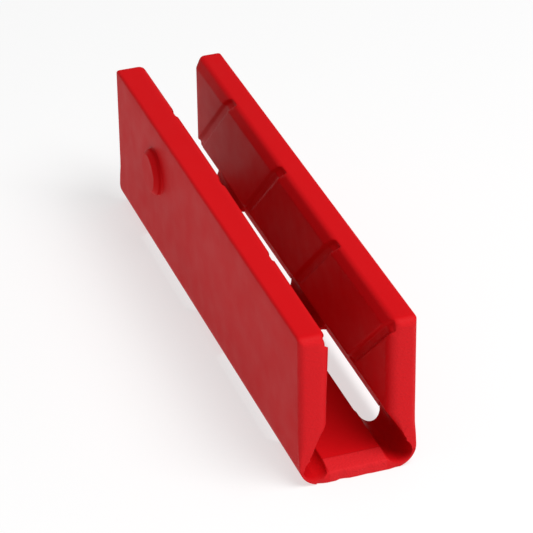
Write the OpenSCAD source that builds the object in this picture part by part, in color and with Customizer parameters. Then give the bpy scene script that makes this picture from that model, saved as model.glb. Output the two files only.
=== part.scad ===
// Edge tuning tool: a moulded plastic channel whose two thick jaws are squeezed towards each
// other by hand. The moulding is thinned to a film along both lower corners, and those films are
// the hinges. Origin: middle of the underside. X is across the jaws, -Y is the front, +Z is up.

/* [Channel] */
// Width over both jaws
body_w = 25; // [23:0.5:29]
// Height from the underside to the top of the jaws
body_h = 35; // [30:0.5:42]
// Length of the tool
body_len = 122; // [112:1:140]
// Radius of the two lower outer corners
corner_r = 4.8; // [4.6:0.1:5]

/* [Jaws] */
// Thickness of a jaw
jaw_t = 6.2; // [5.6:0.1:6.8]
// Height at which the inner face starts to slope back towards the hinge
slope_top_z = 13.3; // [12:0.1:16]
// Thickness of the jaw where the slope meets the hinge channel
foot_t = 1.9; // [1.6:0.1:2.3]
// Depth of the lead-in bevel along the top inner edge
lead_in_w = 1.2; // [0.6:0.1:2]
// Height of the lead-in bevel
lead_in_h = 2.6; // [1:0.1:4]

/* [Floor] */
// Thickness of the floor between the hinge channels
floor_t = 3; // [2.6:0.1:3.4]
// Height that the floor drops at its front and rear ends
floor_drop = 0.7; // [0.3:0.1:1]
// Length of the drop
floor_drop_len = 4.2; // [2:0.1:6]

/* [Hinges] */
// Radius of the hinge channel along each lower corner
channel_r = 2.8; // [2.6:0.05:2.85]
// Plastic left between the channel and the outer side face
channel_wall = 0.8; // [0.75:0.05:0.9]
// Plastic left between the channel and the underside
channel_floor = 1; // [0.95:0.05:1.1]
// Length of the film hinge at each end of the tool, to the end of the window
end_hinge_len = 16; // [12:0.5:20]
// Length of the film hinge at mid length, between the windows
mid_hinge_len = 17; // [12:0.5:22]

/* [Grooves] */
// Number of slanted grooves in each jaw's inner face
groove_count = 4; // [3:1:4]
// Distance between grooves along the tool
groove_pitch = 32.5; // [28:0.1:33]
// Distance of the frontmost groove from the front end, at the top edge
groove_from_front = 1.6; // [1:0.1:6]
// Angle of the grooves from the top edge, dropping towards the rear
groove_angle = 44.5; // [40:0.5:55]
// Width of a groove
groove_w = 2.8; // [1.5:0.1:4]
// Depth of a groove
groove_depth = 0.7; // [0.3:0.05:1]

/* [Boss] */
// Radius of the round boss on the left jaw
boss_r = 5.2; // [4:0.1:6]
// Height that the boss stands proud of the jaw
boss_proud = 1.8; // [1:0.1:2.5]
// Bevel around the rim of the boss
boss_bevel = 0.9; // [0.2:0.1:0.9]
// Distance of the boss centre from the rear end
boss_from_rear = 29.2; // [15:0.1:40]
// Height of the boss centre above the underside
boss_z = 23.5; // [19:0.1:28]

/* [Hidden] */

$fn = 64;
red = [0.82, 0.07, 0.09];
// Spare length by which a cutter runs past the face it cuts
over = 1;
half_w = body_w / 2;
half_len = body_len / 2;
jaw_inner_x = -half_w + jaw_t;
// Centre of the left hinge channel
channel_x = -half_w + channel_wall + channel_r;
channel_z = channel_floor + channel_r;
// Each corner has two windows with round ends; the front one ends at these two Y values
window_y0 = -half_len + end_hinge_len;
window_y1 = -mid_hinge_len / 2;
// Y where the window's round ends start
straight_y0 = window_y0 + channel_r;
straight_y1 = window_y1 - channel_r;
// Height of the floor at the very ends, and the slope it drops by
floor_end_z = floor_t - floor_drop;
drop_slope = floor_drop / floor_drop_len;
// Ends along Y of the front, middle and rear hinges, round window ends included
hinge_spans = [
    [-half_len, straight_y0],
    [straight_y1, -straight_y1],
    [-straight_y0, half_len],
];

// Draws its child as the left side, or mirrored as the right side.
module on_side(side) {
    mirror([side == "right" ? 1 : 0, 0, 0])
        children();
}

// Draws its child at the front and again, mirrored, at the rear.
module both_ends() {
    for (end = [0, 1])
        mirror([0, end, 0])
            children();
}

// Lays a section drawn in X and Z along the tool from y0 to y1.
module along_tool(y0, y1) {
    translate([0, y1, 0])
        rotate([90, 0, 0])
            linear_extrude(y1 - y0)
                children();
}

// Outline of the whole tool seen from the front: square on top, round at the lower corners.
module outer_section() {
    translate([-half_w, corner_r])
        square([body_w, body_h - corner_r]);
    translate([-half_w + corner_r, 0])
        square([body_w - 2 * corner_r, body_h]);
    for (x = [-half_w + corner_r, half_w - corner_r])
        translate([x, corner_r])
            circle(corner_r);
}

// Round channel along the left lower corner.
module channel_section() {
    translate([channel_x, channel_z])
        circle(channel_r);
}

// The two windows through the floor of the left channel, as cutters.
module windows() {
    both_ends()
        translate([0, 0, -over]) {
            for (y = [straight_y0, straight_y1])
                translate([channel_x, y, 0])
                    cylinder(r = channel_r, h = channel_z + over);
            translate([channel_x - channel_r, straight_y0, 0])
                cube([2 * channel_r, straight_y1 - straight_y0, channel_z + over]);
        }
}

// Left jaw above the channel's centre height.
module jaw_section() {
    difference() {
        intersection() {
            outer_section();
            polygon([
                [-half_w - over, channel_z],
                [channel_x, channel_z],
                [-half_w + foot_t, channel_z + channel_r],
                [jaw_inner_x, slope_top_z],
                [jaw_inner_x, body_h - lead_in_h],
                [jaw_inner_x - lead_in_w, body_h],
                [-half_w - over, body_h],
            ]);
        }
        channel_section();
    }
}

// Thin lip that hangs from the left jaw outside each window.
module lip_section() {
    intersection() {
        outer_section();
        translate([-half_w, 0])
            square([channel_wall, channel_z]);
    }
}

// Slanted grooves that run down the left jaw's inner face and through its top edge.
module grooves() {
    for (i = [0 : groove_count - 1])
        translate([jaw_inner_x - groove_depth, 0, body_h])
            translate([0, -half_len + groove_from_front + i * groove_pitch, 0])
                rotate([-groove_angle, 0, 0])
                    translate([0, -body_h / 4, -groove_w])
                        cube([jaw_t, body_h * 1.75, groove_w]);
}

module jaw(side) {
    color(red)
        on_side(side) {
            difference() {
                along_tool(-half_len, half_len)
                    jaw_section();
                grooves();
            }
            both_ends()
                along_tool(straight_y0, straight_y1)
                    lip_section();
        }
}

// Film that wraps the outside of the left hinge channel, from the floor up to the jaw.
module hinge(side, span) {
    color(red)
        on_side(side)
            difference() {
                along_tool(span[0], span[1])
                    difference() {
                        intersection() {
                            outer_section();
                            translate([-half_w, 0])
                                square([channel_x + half_w, channel_z]);
                        }
                        channel_section();
                    }
                windows();
            }
}

module base() {
    color(red)
        difference() {
            along_tool(-half_len, half_len)
                difference() {
                    intersection() {
                        outer_section();
                        translate([channel_x, 0])
                            square([-2 * channel_x, floor_t]);
                    }
                    for (side = [0, 1])
                        mirror([side, 0])
                            channel_section();
                }
            for (side = ["left", "right"])
                on_side(side)
                    windows();
            both_ends()
                rotate([90, 0, 90])
                    translate([0, 0, -half_w])
                        linear_extrude(body_w)
                            polygon([
                                [-half_len - over, floor_end_z - over * drop_slope],
                                [-half_len + floor_drop_len, floor_t],
                                [-half_len - over, floor_t + over],
                            ]);
        }
}

module side_stud() {
    color(red)
        translate([-half_w, half_len - boss_from_rear, boss_z])
            rotate([0, -90, 0])
                rotate_extrude()
                    polygon([
                        [0, 0],
                        [boss_r, 0],
                        [boss_r, boss_proud - boss_bevel],
                        [boss_r - boss_bevel, boss_proud],
                        [0, boss_proud],
                    ]);
}

base();
jaw("left");  // left_jaw
jaw("right");  // right_jaw
side_stud();
hinge("left", hinge_spans[0]);  // left_hinge_front
hinge("left", hinge_spans[1]);  // left_hinge_middle
hinge("left", hinge_spans[2]);  // left_hinge_rear
hinge("right", hinge_spans[0]);  // right_hinge_front
hinge("right", hinge_spans[1]);  // right_hinge_middle
hinge("right", hinge_spans[2]);  // right_hinge_rear
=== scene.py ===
"""Edge tuning tool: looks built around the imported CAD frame.

The tool is one red plastic moulding. Its jaws, lips, floor, film hinges and boss are lofted here
as closed meshes along the same section as the CAD solids, with the rounded ends, soft groove
edges and uneven saw-trimmed front that the plain solids leave out. All lengths are in metres.
"""

import math

import bmesh
import bpy
from mathutils import Matrix, Vector, noise


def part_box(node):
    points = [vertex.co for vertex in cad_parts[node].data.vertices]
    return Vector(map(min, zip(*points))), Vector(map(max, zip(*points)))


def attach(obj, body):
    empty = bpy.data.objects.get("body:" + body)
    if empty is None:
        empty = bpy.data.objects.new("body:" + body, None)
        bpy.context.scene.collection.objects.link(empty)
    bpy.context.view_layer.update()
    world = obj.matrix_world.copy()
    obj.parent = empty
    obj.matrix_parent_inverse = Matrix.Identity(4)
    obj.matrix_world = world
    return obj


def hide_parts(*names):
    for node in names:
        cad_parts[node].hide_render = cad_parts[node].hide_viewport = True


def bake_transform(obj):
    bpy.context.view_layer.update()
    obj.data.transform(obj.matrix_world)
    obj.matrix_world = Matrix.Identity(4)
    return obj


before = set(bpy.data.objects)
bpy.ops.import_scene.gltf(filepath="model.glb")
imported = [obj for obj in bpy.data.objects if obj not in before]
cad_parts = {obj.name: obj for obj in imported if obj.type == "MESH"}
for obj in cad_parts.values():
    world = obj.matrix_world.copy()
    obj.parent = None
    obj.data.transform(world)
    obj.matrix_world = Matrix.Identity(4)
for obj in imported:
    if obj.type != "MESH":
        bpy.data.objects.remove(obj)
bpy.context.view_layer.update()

MM = 0.001

# ---------------------------------------------------------------- sizes
# Read from the frame
JAW_LOW, JAW_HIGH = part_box("left_jaw")
BASE_LOW, BASE_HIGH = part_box("base")
FILM_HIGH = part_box("left_hinge_front")[1]
MIDDLE_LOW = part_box("left_hinge_middle")[0]
STUD_LOW, STUD_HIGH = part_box("side_stud")
HALF_W = -JAW_LOW.x
HALF_LEN = JAW_HIGH.y
HEIGHT = JAW_HIGH.z
JAW_T = JAW_HIGH.x - JAW_LOW.x
FLOOR_T = BASE_HIGH.z
# Centre of the hinge channel, measured inwards from the outer face, and up
CHANNEL_D = BASE_LOW.x - JAW_LOW.x
CHANNEL_Z = FILM_HIGH.z
# Y where the straight part of the front window starts and ends
WINDOW_Y0 = FILM_HIGH.y
WINDOW_Y1 = MIDDLE_LOW.y

# The section's other sizes, as in the CAD part
CORNER_R = 4.8 * MM
CHANNEL_R = 2.8 * MM
SLOPE_TOP = 13.3 * MM
FOOT_T = 1.9 * MM
LEAD_IN_W = 1.2 * MM
LEAD_IN_H = 2.6 * MM
FLOOR_DROP = 0.7 * MM
FLOOR_DROP_LEN = 4.2 * MM
GROOVE_COUNT = 4
GROOVE_PITCH = 32.5 * MM
GROOVE_FROM_FRONT = 1.6 * MM
GROOVE_ANGLE = math.radians(44.5)
GROOVE_W = 2.8 * MM
GROOVE_DEPTH = 0.7 * MM
STUD_BEVEL = 0.9 * MM
CHANNEL_WALL = 0.8 * MM

# How the moulding differs from the plain solids
TOP_EDGE_R = 0.7 * MM
LEAD_IN_R = 1.4 * MM
SHOULDER_R = 1.6 * MM
BEND_R = 2.2 * MM
NIB_R = 0.65 * MM
# Rounding of the end edges: outer side, inner side, top, and the thin parts near the hinges
END_R_OUTSIDE = 1.5 * MM
END_R_INSIDE = 2.2 * MM
END_R_TOP = 1.9 * MM
END_R_THIN = 0.22 * MM
# The end rounding grows from its thin to its full size above this height, over this span
END_THIN_Z = 5 * MM
END_SPAN_Z = 6 * MM
# The end face is only shortened above this height
END_RISE_Z = 6 * MM
END_ZONE = 2.6 * MM
END_STEPS = 8
# Width of a groove's soft upper edge and of its crisp lower edge
GROOVE_SOFT = 0.9 * MM
GROOVE_CRISP = 0.35 * MM
# The grooves fade out towards the top edge and below the bend of the inner face
GROOVE_TOP_D = 4.6 * MM
GROOVE_TOP_SPAN = 1.0 * MM
GROOVE_LOW_Z = 12 * MM
GROOVE_LOW_SPAN = 1.3 * MM
# Rounding of the floor's end edges on top and below, and of its edges along the channels
FLOOR_END_R = 0.6 * MM
FLOOR_END_LIFT = 0.1 * MM
FLOOR_EDGE_R = 0.35 * MM
FLOOR_EDGE_DROP = 0.3 * MM
# Depth of the uneven saw trim along the floor's front lower edge, and its waves per metre
TRIM = 0.7 * MM
TRIM_ALONG = 420
TRIM_UP = 260
# Clear space that keeps a film's end back from the end of the tool
FILM_END_GAP = 0.1 * MM
# How much the left jaw thickens at its top, at the front and at the rear
SWELL_FRONT = 0.5 * MM
SWELL_REAR = 1.3 * MM
# The thickening starts this far in from the outer face, over this span
SWELL_D = 2 * MM
SWELL_SPAN = 3 * MM
# The boss: fillet at its foot, rounding of its rim, and how far its foot reaches into the jaw
STUD_FILLET = 0.5 * MM
STUD_RIM_R = 0.35 * MM
STUD_ROOT = 0.7 * MM
STUD_SINK = 0.04 * MM
# Fineness of the meshes
LONG_STEP = 1.0 * MM
FILM_STEPS = 14
FILM_STATIONS = 40
STUD_SIDES = 72


# ---------------------------------------------------------------- small helpers
def smooth(t):
    """Smooth step from 0 to 1."""
    t = min(1.0, max(0.0, t))
    return t * t * (3 - 2 * t)


def mix(a, b, t):
    return a + (b - a) * t


def arc(cx, cz, radius, start, end, count):
    """Points of an arc in degrees, both ends included."""
    points = []
    for i in range(count + 1):
        angle = math.radians(mix(start, end, i / count))
        points.append((cx + radius * math.cos(angle), cz + radius * math.sin(angle)))
    return points


def line(a, b, count):
    """Points from a to b, without a and b themselves."""
    return [(mix(a[0], b[0], i / count), mix(a[1], b[1], i / count)) for i in range(1, count)]


def round_corner(before, corner, after, radius, count):
    """Arc that rounds a corner between two straight runs."""
    b = (Vector(before) - Vector(corner)).normalized()
    a = (Vector(after) - Vector(corner)).normalized()
    half = b.angle(a) / 2
    reach = radius / math.tan(half)
    centre = Vector(corner) + (a + b).normalized() * (radius / math.sin(half))
    first = Vector(corner) + b * reach - centre
    last = Vector(corner) + a * reach - centre
    turn = math.atan2(first.x * last.y - first.y * last.x, first.dot(last))
    points = []
    for i in range(count + 1):
        angle = turn * i / count
        c, s = math.cos(angle), math.sin(angle)
        points.append((centre.x + first.x * c - first.y * s, centre.y + first.x * s + first.y * c))
    return points


def stations(start, end, step, marks=()):
    """Y values from start to end about a step apart, with each mark among them."""
    stops = sorted({start, end, *[m for m in marks if start < m < end]})
    values = []
    for a, b in zip(stops, stops[1:]):
        count = max(1, round((b - a) / step))
        values += [mix(a, b, i / count) for i in range(count)]
    return values + [end]


def build(name, rings, side=1, sharp=32, shape=None):
    """Closed mesh through rings of (d, y, z), where d is the distance inwards from the outer face.

    side -1 is the left jaw's side and 1 the right's; side 0 takes d as x. shape(bm, side) may
    cut or move the mesh before its sharp edges are marked.
    """
    mesh = bpy.data.meshes.new(name)
    obj = bpy.data.objects.new(name, mesh)
    bpy.context.scene.collection.objects.link(obj)
    bm = bmesh.new()
    loops = []
    for ring in rings:
        loop = []
        for d, y, z in ring:
            x = d if side == 0 else side * (HALF_W - d)
            loop.append(bm.verts.new((x, y, z)))
        loops.append(loop)
    count = len(loops[0])
    for a, b in zip(loops, loops[1:]):
        for i in range(count):
            j = (i + 1) % count
            bm.faces.new((a[i], a[j], b[j], b[i]))
    bm.faces.new(loops[0])
    bm.faces.new(list(reversed(loops[-1])))
    bmesh.ops.remove_doubles(bm, verts=bm.verts, dist=1e-7)
    bmesh.ops.dissolve_degenerate(bm, edges=bm.edges, dist=1e-7)
    bmesh.ops.recalc_face_normals(bm, faces=bm.faces)
    caps = [f for f in bm.faces if len(f.verts) > 4]
    bmesh.ops.triangulate(bm, faces=caps, ngon_method="BEAUTY")
    if shape:
        shape(bm, side)
    for face in bm.faces:
        face.smooth = True
    limit = math.radians(sharp)
    for edge in bm.edges:
        if len(edge.link_faces) == 2 and edge.calc_face_angle(0) > limit:
            edge.smooth = False
    bm.to_mesh(mesh)
    bm.free()
    return obj


# ---------------------------------------------------------------- the section, as (d, z)
def outer_z(d):
    """Height of the lower outer corner's arc at distance d from the outer face."""
    return CORNER_R - math.sqrt(max(0.0, CORNER_R ** 2 - (CORNER_R - d) ** 2))


def jaw_section():
    """Closed outline of a jaw, from the hinge's outer side up, over the top and down inside."""
    inner_top = HEIGHT - LEAD_IN_H
    slope_foot = (FOOT_T, CHANNEL_Z + CHANNEL_R)
    start = math.degrees(math.asin((CHANNEL_Z - CORNER_R) / CORNER_R))
    points = arc(CORNER_R, CORNER_R, CORNER_R, 180 - start, 180, 5)
    outer_top = round_corner((0, 0), (0, HEIGHT), (JAW_T, HEIGHT), TOP_EDGE_R, 6)
    points += line(points[-1], outer_top[0], 12) + outer_top
    lead = round_corner((0, HEIGHT), (JAW_T - LEAD_IN_W, HEIGHT), (JAW_T, inner_top), LEAD_IN_R, 6)
    points += line(points[-1], lead[0], 6) + lead
    shoulder = round_corner(lead[-1], (JAW_T, inner_top), (JAW_T, SLOPE_TOP), SHOULDER_R, 6)
    points += line(points[-1], shoulder[0], 4) + shoulder
    bend = round_corner((JAW_T, inner_top), (JAW_T, SLOPE_TOP), slope_foot, BEND_R, 8)
    points += line(points[-1], bend[0], 40) + bend
    # The slope ends in a small nib where it meets the round channel
    towards = Vector((CHANNEL_D, CHANNEL_Z)) - Vector(slope_foot)
    nib_end = Vector(slope_foot) + towards.normalized() * (towards.length - CHANNEL_R)
    nib = round_corner((JAW_T, SLOPE_TOP), slope_foot, nib_end, NIB_R, 6)
    points += line(points[-1], nib[0], 10) + nib
    nib_angle = math.degrees(math.atan2(nib_end.y - CHANNEL_Z, nib_end.x - CHANNEL_D))
    points += arc(CHANNEL_D, CHANNEL_Z, CHANNEL_R, nib_angle, 180, 10)
    return points


def outward_normals(points):
    """Unit normals of a closed outline that runs clockwise, pointing out of it."""
    normals = []
    count = len(points)
    for i in range(count):
        before = Vector(points[i - 1])
        after = Vector(points[(i + 1) % count])
        along = (after - before).normalized()
        normals.append(Vector((-along.y, along.x)))
    return normals


# ---------------------------------------------------------------- jaws
GROOVE_NORMAL = Vector((0, math.sin(GROOVE_ANGLE), math.cos(GROOVE_ANGLE)))


def groove_top(i):
    """Point where the upper edge of groove i meets the top of the jaw."""
    return Vector((0, -HALF_LEN + GROOVE_FROM_FRONT + i * GROOVE_PITCH, HEIGHT))


def groove_share(across):
    """Share of the full depth at a distance below a groove's upper edge."""
    upper = smooth(across / GROOVE_SOFT)
    lower = smooth((GROOVE_W - across) / GROOVE_CRISP)
    return upper * lower


def cut_grooves(bm, side):
    """Cuts the mesh along the edges of the grooves, then sinks what lies between them."""
    below = [GROOVE_SOFT * k / 4 for k in range(5)]
    below += [GROOVE_W - GROOVE_CRISP * k / 2 for k in range(3)]
    for i in range(GROOVE_COUNT):
        for across in below:
            geometry = bm.verts[:] + bm.edges[:] + bm.faces[:]
            point = groove_top(i) - GROOVE_NORMAL * across
            bmesh.ops.bisect_plane(bm, geom=geometry, dist=1e-7, plane_co=point, plane_no=GROOVE_NORMAL)
    for vert in bm.verts:
        d = HALF_W - side * vert.co.x
        inner = smooth((d - GROOVE_TOP_D) / GROOVE_TOP_SPAN)
        inner *= smooth((vert.co.z - GROOVE_LOW_Z) / GROOVE_LOW_SPAN)
        if inner == 0:
            continue
        for i in range(GROOVE_COUNT):
            across = (groove_top(i) - vert.co).dot(GROOVE_NORMAL)
            vert.co.x += side * GROOVE_DEPTH * inner * groove_share(across)


def shape_jaw(bm, side):
    """Cuts the grooves. The left jaw's upper part also thickens a little towards the rear."""
    cut_grooves(bm, side)
    if side > 0:
        return
    for vert in bm.verts:
        d = HALF_W + vert.co.x
        inner = smooth((d - SWELL_D) / SWELL_SPAN)
        height = smooth((vert.co.z - SLOPE_TOP) / (HEIGHT - SLOPE_TOP))
        along = smooth((vert.co.y + HALF_LEN) / (1.5 * HALF_LEN))
        vert.co.x += mix(SWELL_FRONT, SWELL_REAR, along) * inner * height


def end_ring(section, normals, end, angle):
    """Ring of a jaw's rounded end. The angle is 0 on the end face and a right angle on the skin."""
    inset = 1 - math.sin(angle)
    ring = []
    for (d, z), normal in zip(section, normals):
        up = smooth((z - END_THIN_Z) / END_SPAN_Z)
        outside = mix(END_R_THIN, END_R_OUTSIDE, up)
        inside = mix(END_R_THIN, END_R_INSIDE, up)
        share = d / JAW_T
        rise = max(0.0, z - END_RISE_Z) / (HEIGHT - END_RISE_Z)
        moved_d = d + inset * (outside * (1 - share) - inside * share)
        moved_z = z - inset * END_R_TOP * rise
        across = inside if normal.x > 0 else outside
        radius = mix(across, mix(END_R_THIN, END_R_TOP, up), normal.y ** 2)
        y = end * (HALF_LEN - radius * (1 - math.cos(angle)))
        ring.append((moved_d, y, moved_z))
    return ring


def make_jaw(side_name):
    """One jaw with rounded ends and its grooves."""
    side = -1 if side_name == "left" else 1
    section = jaw_section()
    normals = outward_normals(section)
    angles = [math.pi / 2 * k / END_STEPS for k in range(END_STEPS + 1)]
    rings = [end_ring(section, normals, -1, angle) for angle in angles]
    for y in stations(-HALF_LEN + END_ZONE, HALF_LEN - END_ZONE, LONG_STEP):
        rings.append([(d, y, z) for d, z in section])
    rings += [end_ring(section, normals, 1, angle) for angle in reversed(angles)]
    jaw = build(f"{side_name}_jaw_moulding", rings, side, shape=shape_jaw)
    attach(jaw, f"{side_name}_jaw")
    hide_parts(f"{side_name}_jaw")
    return jaw


# ---------------------------------------------------------------- lips, films and floor
def window_d(y):
    """How far in from the outer face the floor's edge lies at y, where a window cuts into it."""
    y = abs(y)
    near, far = -WINDOW_Y1, -WINDOW_Y0
    if near <= y <= far:
        return CHANNEL_D + CHANNEL_R
    gap = near - y if y < near else y - far
    if gap >= CHANNEL_R:
        return CHANNEL_D
    return CHANNEL_D + math.sqrt(CHANNEL_R ** 2 - gap ** 2)


def film_end(d):
    """How far short of the straight part of the window the film's round end stops, at d."""
    if d <= CHANNEL_WALL:
        return 0.0
    return math.sqrt(max(0.0, CHANNEL_R ** 2 - (CHANNEL_D - d) ** 2))


def film_span(place, d):
    """Y where a film starts and ends, at d."""
    short = film_end(d)
    if place == "front":
        return -HALF_LEN + FILM_END_GAP, WINDOW_Y0 - short
    if place == "middle":
        return WINDOW_Y1 + short, -WINDOW_Y1 - short
    return -WINDOW_Y0 + short, HALF_LEN - FILM_END_GAP


def film_section():
    """Outer and inner points of a film, from the jaw down to the floor."""
    jaw_angle = 180 + math.degrees(math.asin((CORNER_R - CHANNEL_Z) / CORNER_R))
    floor_angle = 270 - math.degrees(math.asin((CORNER_R - CHANNEL_D) / CORNER_R))
    outer = arc(CORNER_R, CORNER_R, CORNER_R, jaw_angle, floor_angle, FILM_STEPS)
    inner = arc(CHANNEL_D, CHANNEL_Z, CHANNEL_R, 180, 270, FILM_STEPS)
    return outer + inner[::-1]


def make_film(side_name, place):
    """place is front, middle or rear. A film curves round the channel, from the floor to the jaw."""
    side = -1 if side_name == "left" else 1
    section = film_section()
    rings = []
    for k in range(FILM_STATIONS + 1):
        t = k / FILM_STATIONS
        rings.append([(d, mix(*film_span(place, d), t), z) for d, z in section])
    film = build(f"{side_name}_film_{place}", rings, side)
    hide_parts(f"{side_name}_hinge_{place}")
    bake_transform(film)
    return film


def make_lip(side_name, place):
    """Thin lip that hangs from a jaw outside a window. Its lower edge is slightly blunt."""
    side = -1 if side_name == "left" else 1
    turn = 1 if place == "front" else -1
    lowest = outer_z(CHANNEL_WALL)
    low_angle = 180 + math.degrees(math.asin((CORNER_R - lowest) / CORNER_R))
    jaw_angle = 180 + math.degrees(math.asin((CORNER_R - CHANNEL_Z) / CORNER_R))
    section = arc(CORNER_R, CORNER_R, CORNER_R, jaw_angle, low_angle - 1.5, 8)
    section += [(CHANNEL_WALL, lowest + 0.12 * MM)]
    section += line(section[-1], (CHANNEL_WALL, CHANNEL_Z), 5) + [(CHANNEL_WALL, CHANNEL_Z)]
    rings = []
    for y in stations(WINDOW_Y0, WINDOW_Y1, 1 * MM):
        rings.append([(d, turn * y, z) for d, z in section])
    lip = build(f"{side_name}_lip_{place}", rings, side)
    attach(lip, f"{side_name}_jaw")
    return lip


def floor_top(y):
    """Height of the floor, which drops towards both ends."""
    left = max(0.0, FLOOR_DROP_LEN - (HALF_LEN - abs(y))) / FLOOR_DROP_LEN
    return FLOOR_T - FLOOR_DROP * left


def half_floor(y, top, inset):
    """Half of the floor's outline at y, from the middle of the underside round to the top."""
    edge = window_d(y)
    corner = max(edge, CORNER_R)
    bottom = line((HALF_W, 0), (corner, 0), 8) + [(corner, 0)]
    for i in range(1, 5):
        d = mix(corner, edge, i / 4)
        bottom.append((d, outer_z(d) if d < CORNER_R else 0))
    points = [(d, z + inset) for d, z in bottom]
    reach = CHANNEL_R ** 2 - (edge - CHANNEL_D) ** 2
    wall_top = min(CHANNEL_Z - math.sqrt(max(0.0, reach)), top - FLOOR_EDGE_R)
    points += line(points[-1], (edge, wall_top), 4) + [(edge, wall_top)]
    last_z = top - FLOOR_EDGE_DROP
    last_d = max(edge, CHANNEL_D + math.sqrt(CHANNEL_R ** 2 - (CHANNEL_Z - last_z) ** 2))
    first = math.atan2(wall_top - CHANNEL_Z, max(0.0, edge - CHANNEL_D))
    last = math.atan2(last_z - CHANNEL_Z, last_d - CHANNEL_D)
    for i in range(1, 11):
        angle = mix(first, last, i / 10)
        radius = max(CHANNEL_R, (edge - CHANNEL_D) / math.cos(angle))
        points.append((CHANNEL_D + radius * math.cos(angle), CHANNEL_Z + radius * math.sin(angle)))
    for i in range(1, 6):
        angle = math.pi / 2 * i / 5
        d = last_d + FLOOR_EDGE_R * (1 - math.cos(angle))
        points.append((d, last_z + FLOOR_EDGE_DROP * math.sin(angle)))
    points += line(points[-1], (HALF_W, top), 12)
    return points


def window_marks():
    """Y of stations that follow the windows' round ends closely."""
    marks = []
    for centre, way in ((WINDOW_Y0, -1), (WINDOW_Y1, 1)):
        for k in range(13):
            marks.append(centre + way * CHANNEL_R * math.cos(math.pi / 2 * k / 12))
    return marks + [-mark for mark in marks]


def floor_stations():
    """Y of the floor's rings, close together in the rounded ends."""
    ends = [FLOOR_END_R * k / 5 for k in range(5)]
    inner = stations(-HALF_LEN + FLOOR_END_R, HALF_LEN - FLOOR_END_R, LONG_STEP, window_marks())
    front = [-HALF_LEN + end for end in ends]
    rear = [HALF_LEN - end for end in reversed(ends)]
    return front + inner + rear


def trimmed(x, z, y, from_end):
    """Y of a floor point, set back along the front lower edge where the saw left it uneven."""
    if y > 0:
        return y
    rough = noise.noise(Vector((x * TRIM_ALONG, 3.1, z * TRIM_UP)))
    return y + TRIM * max(0.0, rough) * (1 - from_end) * (1 - z / FLOOR_T)


def floor_ring(y):
    """Outline of the floor at y, over both sides."""
    from_end = min(1.0, (HALF_LEN - abs(y)) / FLOOR_END_R)
    bulge = 1 - math.sqrt(max(0.0, 1 - (1 - from_end) ** 2))
    top = floor_top(y) - FLOOR_END_R * bulge
    lift = FLOOR_END_LIFT * bulge
    right = [(HALF_W - d, z) for d, z in half_floor(y, top, lift)]
    left = [(-x, z) for x, z in reversed(right)]
    ring = [(x, trimmed(x, z, y, from_end), z) for x, z in right]
    ring.append((0, y, top))
    ring += [(x, trimmed(x, z, y, from_end), z) for x, z in left]
    ring.append((0, y, lift))
    return ring


def make_floor():
    """The floor between the hinge channels, with its windows' inner halves."""
    rings = [floor_ring(y) for y in floor_stations()]
    floor_piece = build("floor_moulding", rings, side=0)
    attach(floor_piece, "base")
    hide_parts("base")
    return floor_piece


# ---------------------------------------------------------------- boss
def stud_profile(radius, proud):
    """Profile of the boss as (distance out from the jaw, radius), from its foot to its face."""
    face_r = radius - STUD_BEVEL
    profile = [(-STUD_ROOT, radius + STUD_FILLET)]
    for k in range(7):
        angle = math.pi / 2 * k / 6
        out = STUD_FILLET * (1 - math.cos(angle)) - STUD_SINK
        profile.append((out, radius + STUD_FILLET * (1 - math.sin(angle))))
    shoulder = round_corner((0, radius), (proud - STUD_BEVEL, radius), (proud, face_r), STUD_RIM_R, 5)
    rim = round_corner(shoulder[-1], (proud, face_r), (proud, 0), STUD_RIM_R, 5)
    profile += shoulder + rim
    profile += [(proud, face_r * share) for share in (0.8, 0.6, 0.4, 0.2)]
    return profile


def make_stud():
    """The round boss on the outside of the left jaw."""
    centre_y = (STUD_LOW.y + STUD_HIGH.y) / 2
    centre_z = (STUD_LOW.z + STUD_HIGH.z) / 2
    radius = (STUD_HIGH.z - STUD_LOW.z) / 2
    proud = STUD_HIGH.x - STUD_LOW.x
    rings = []
    for out, ring_r in stud_profile(radius, proud):
        ring = []
        for k in range(STUD_SIDES):
            angle = math.tau * k / STUD_SIDES
            y = centre_y + ring_r * math.cos(angle)
            z = centre_z + ring_r * math.sin(angle)
            ring.append((STUD_HIGH.x - out, y, z))
        rings.append(ring)
    stud = build("boss", rings, side=0)
    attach(stud, "left_jaw")
    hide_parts("side_stud")
    return stud


# ---------------------------------------------------------------- materials
BODY_RED = (0.62, 0.005, 0.008)
FILM_RED = (0.57, 0.004, 0.007)
# Paler red for the stippled floor band and end edges: partly the stipple's own paler tone, partly
# painted highlight standing in for the light these places catch
STIPPLED_AND_LIT_RED = (0.72, 0.022, 0.028)
# Share of the colour in the darkest and palest flow marks
FLOW_DARK = 0.96
FLOW_PALE = 1.03
ROUGHNESS_LOW = 0.42
ROUGHNESS_HIGH = 0.52
# Range of a noise texture that holds most of its values
NOISE_LOW = 0.3
NOISE_HIGH = 0.7
# Height of the waves and of the fine grain, as shares of the bump's distance
WAVE_HEIGHT = 0.05
GRAIN_HEIGHT = 0.12
BUMP_DISTANCE = 0.2 * MM
BUMP_STRENGTH = 0.5
# Height of the stipple on the stiff moulding and on the films
BODY_STIPPLE = 2.5
FILM_STIPPLE = 1.5
# How far the stippled places are made paler, partly as painted highlight, and the share of stipple and
# painted highlight on the rounded end edges
STIPPLE_AND_LIGHT_PALENESS = 0.8
CORNER_STIPPLE_AND_LIGHT = 0.6


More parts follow.
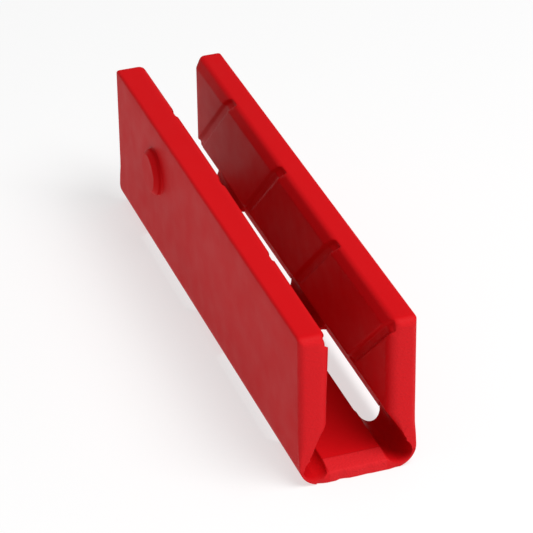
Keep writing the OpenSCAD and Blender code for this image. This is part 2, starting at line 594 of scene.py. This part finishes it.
def noise_at(tree, place, scale, detail, stretch=(1, 1, 1)):
    """Noise with about scale features to the metre."""
    mapping = tree.nodes.new("ShaderNodeMapping")
    mapping.inputs["Scale"].default_value = stretch
    tree.links.new(place, mapping.inputs["Vector"])
    texture = tree.nodes.new("ShaderNodeTexNoise")
    texture.inputs["Scale"].default_value = scale
    texture.inputs["Detail"].default_value = detail
    tree.links.new(mapping.outputs["Vector"], texture.inputs["Vector"])
    return texture.outputs["Fac"]


def ranged(tree, value, low, high, out_low, out_high):
    """value turned from the range low to high into the range out_low to out_high."""
    node = tree.nodes.new("ShaderNodeMapRange")
    node.inputs["From Min"].default_value = low
    node.inputs["From Max"].default_value = high
    node.inputs["To Min"].default_value = out_low
    node.inputs["To Max"].default_value = out_high
    tree.links.new(value, node.inputs["Value"])
    return node.outputs["Result"]


def maths(tree, operation, first, second=None):
    """Math node on one or two sockets; second may also be a number."""
    node = tree.nodes.new("ShaderNodeMath")
    node.operation = operation
    tree.links.new(first, node.inputs[0])
    if isinstance(second, (int, float)):
        node.inputs[1].default_value = second
    elif second is not None:
        tree.links.new(second, node.inputs[1])
    return node.outputs["Value"]


def mixed(tree, factor):
    """Colour mix node, blended by a socket."""
    node = tree.nodes.new("ShaderNodeMix")
    node.data_type = "RGBA"
    tree.links.new(factor, node.inputs["Factor"])
    return node


def stipple_and_lit_mask(tree, place):
    """Where the plastic is stippled and painted paler as a painted highlight: the floor's dropped ends,
    and the end edges of all pieces.
    """
    axes = tree.nodes.new("ShaderNodeSeparateXYZ")
    tree.links.new(place, axes.inputs["Vector"])
    along = maths(tree, "ABSOLUTE", axes.outputs["Y"])
    across = maths(tree, "ABSOLUTE", axes.outputs["X"])
    crease = HALF_LEN - FLOOR_DROP_LEN
    near_end = ranged(tree, along, crease - 0.1 * MM, crease + 0.1 * MM, 0, 1)
    low_down = ranged(tree, axes.outputs["Z"], FLOOR_T + 0.2 * MM, FLOOR_T + 0.8 * MM, 1, 0)
    # Only the floor itself, not the channels beside it
    half_floor_w = HALF_W - CHANNEL_D - CHANNEL_R
    on_floor = ranged(tree, across, half_floor_w, half_floor_w + 0.3 * MM, 1, 0)
    band = maths(tree, "MULTIPLY", near_end, maths(tree, "MULTIPLY", low_down, on_floor))
    edge_start = HALF_LEN - 1.6 * MM
    edge_full = HALF_LEN - 0.2 * MM
    on_corner = ranged(tree, along, edge_start, edge_full, 0, CORNER_STIPPLE_AND_LIGHT)
    return maths(tree, "MAXIMUM", band, on_corner)


def surface_height(tree, place, stipple_and_lit_share, stipple):
    """Height of the stipple, slow waves and fine grain together."""
    grain = maths(tree, "MULTIPLY", noise_at(tree, place, 2200, 3), GRAIN_HEIGHT)
    waves = maths(tree, "MULTIPLY", noise_at(tree, place, 150, 3), WAVE_HEIGHT)
    coarse = maths(tree, "MULTIPLY", stipple_and_lit_share, stipple)
    stippled = maths(tree, "MULTIPLY", noise_at(tree, place, 2600, 2), coarse)
    return maths(tree, "ADD", maths(tree, "ADD", stippled, waves), grain)


def plastic(name, colour, stipple):
    """Satin red plastic. Its colour, gloss and fine surface vary, and its ends are stippled and painted
    paler as a painted highlight.
    """
    material = bpy.data.materials.new(name)
    material.use_nodes = True
    tree = material.node_tree
    shader = tree.nodes["Principled BSDF"]
    shader.inputs["Specular IOR Level"].default_value = 0.04
    shader.inputs["IOR"].default_value = 1.47
    place = tree.nodes.new("ShaderNodeTexCoord").outputs["Object"]

    # Slow flow marks, drawn out along the tool, slightly darker and paler
    flow = noise_at(tree, place, 60, 3, (1, 0.25, 1))
    marks = mixed(tree, ranged(tree, flow, NOISE_LOW, NOISE_HIGH, 0, 1))
    marks.inputs["A"].default_value = (*[c * FLOW_DARK for c in colour], 1)
    marks.inputs["B"].default_value = (*[c * FLOW_PALE for c in colour], 1)

    # Painted highlight: the stippled floor band and end edges are made paler, partly for the stipple's
    # own tone and partly standing in for the light they catch
    stipple_and_lit_share = stipple_and_lit_mask(tree, place)
    lit_paler = mixed(tree, maths(tree, "MULTIPLY", stipple_and_lit_share, STIPPLE_AND_LIGHT_PALENESS))
    lit_paler.inputs["B"].default_value = (*STIPPLED_AND_LIT_RED, 1)
    tree.links.new(marks.outputs["Result"], lit_paler.inputs["A"])
    tree.links.new(lit_paler.outputs["Result"], shader.inputs["Base Color"])

    gloss = noise_at(tree, place, 180, 4)
    roughness = ranged(tree, gloss, NOISE_LOW, NOISE_HIGH, ROUGHNESS_LOW, ROUGHNESS_HIGH)
    tree.links.new(roughness, shader.inputs["Roughness"])

    bump = tree.nodes.new("ShaderNodeBump")
    bump.inputs["Strength"].default_value = BUMP_STRENGTH
    bump.inputs["Distance"].default_value = BUMP_DISTANCE
    height = surface_height(tree, place, stipple_and_lit_share, stipple)
    tree.links.new(height, bump.inputs["Height"])
    tree.links.new(bump.outputs["Normal"], shader.inputs["Normal"])
    return material


GROUND_DARK = (0.36, 0.36, 0.36, 1)
GROUND_PALE = (0.39, 0.39, 0.39, 1)
GROUND_GLOW = 0.62


def pale(name):
    """Matt grey with a white glow, so that it looks near-white and its shadows are faint."""
    material = bpy.data.materials.new(name)
    material.use_nodes = True
    tree = material.node_tree
    shader = tree.nodes["Principled BSDF"]
    shader.inputs["Specular IOR Level"].default_value = 0.1
    shader.inputs["Roughness"].default_value = 0.9
    shader.inputs["Emission Color"].default_value = (1, 1, 1, 1)
    shader.inputs["Emission Strength"].default_value = GROUND_GLOW
    texture = tree.nodes.new("ShaderNodeTexNoise")
    texture.inputs["Scale"].default_value = 12
    ramp = tree.nodes.new("ShaderNodeValToRGB")
    ramp.color_ramp.elements[0].color = GROUND_DARK
    ramp.color_ramp.elements[1].color = GROUND_PALE
    tree.links.new(texture.outputs["Fac"], ramp.inputs["Fac"])
    tree.links.new(ramp.outputs["Color"], shader.inputs["Base Color"])
    return material


# ---------------------------------------------------------------- floor, lights and camera
CAMERA_AZIMUTH = math.radians(-19.1)
CAMERA_ELEVATION = math.radians(31.5)
CAMERA_ROLL = math.radians(-0.8)
CAMERA_DISTANCE = 622.5 * MM
CAMERA_LENS = 196
CAMERA_CLIP = 20 * MM
AIM = Vector((1.5, -2.0, 15.2)) * MM
GROUND_HALF = 3
# A hair below the underside, so that the two faces don't coincide
GROUND_Z = -0.03 * MM
WORLD_STRENGTH = 0.3
KEY_PLACE = Vector((0.29, -0.41, 0.87))
KEY_TARGET = Vector((0, 0, 0.02))
KEY_SIZE = 0.6
KEY_ENERGY = 9


def make_ground():
    """Plain pale surface that the tool stands on."""
    mesh = bpy.data.meshes.new("ground")
    ground = bpy.data.objects.new("ground", mesh)
    bpy.context.scene.collection.objects.link(ground)
    bm = bmesh.new()
    bmesh.ops.create_grid(bm, x_segments=1, y_segments=1, size=GROUND_HALF)
    bm.to_mesh(mesh)
    bm.free()
    ground.location.z = GROUND_Z
    mesh.materials.append(pale("pale_ground"))


def add_lights():
    """White surroundings, and one large soft panel from above and in front, on the right."""
    world = bpy.data.worlds.new("studio")
    world.use_nodes = True
    background = world.node_tree.nodes["Background"]
    background.inputs["Color"].default_value = (1, 1, 1, 1)
    background.inputs["Strength"].default_value = WORLD_STRENGTH
    bpy.context.scene.world = world
    light = bpy.data.lights.new("key", "AREA")
    light.size = KEY_SIZE
    light.energy = KEY_ENERGY
    panel = bpy.data.objects.new("key", light)
    panel.location = KEY_PLACE
    panel.rotation_euler = (KEY_PLACE - KEY_TARGET).to_track_quat("Z", "Y").to_euler()
    bpy.context.scene.collection.objects.link(panel)


def add_camera():
    """Camera from in front, on the left and above."""
    level = math.cos(CAMERA_ELEVATION)
    back = Vector((math.sin(CAMERA_AZIMUTH) * level, -math.cos(CAMERA_AZIMUTH) * level, 0))
    back.z = math.sin(CAMERA_ELEVATION)
    data = bpy.data.cameras.new("camera")
    data.lens = CAMERA_LENS
    data.clip_start = CAMERA_CLIP
    camera = bpy.data.objects.new("camera", data)
    upright = back.to_track_quat("Z", "Y").to_matrix()
    turned = upright @ Matrix.Rotation(CAMERA_ROLL, 3, "Z")
    camera.rotation_euler = turned.to_euler()
    camera.location = AIM + back * CAMERA_DISTANCE
    bpy.context.scene.collection.objects.link(camera)
    bpy.context.scene.camera = camera


# ---------------------------------------------------------------- the tool
body = plastic("red_moulding", BODY_RED, BODY_STIPPLE)
thin = plastic("red_film", FILM_RED, FILM_STIPPLE)
moulded = [make_floor(), make_stud()]
films = []
for side_name in ("left", "right"):
    moulded.append(make_jaw(side_name))
    moulded += [make_lip(side_name, place) for place in ("front", "rear")]
    films += [make_film(side_name, place) for place in ("front", "middle", "rear")]
for piece in moulded:
    piece.data.materials.append(body)
for piece in films:
    piece.data.materials.append(thin)

make_ground()
add_lights()
add_camera()
bpy.context.scene.view_settings.view_transform = "Standard"
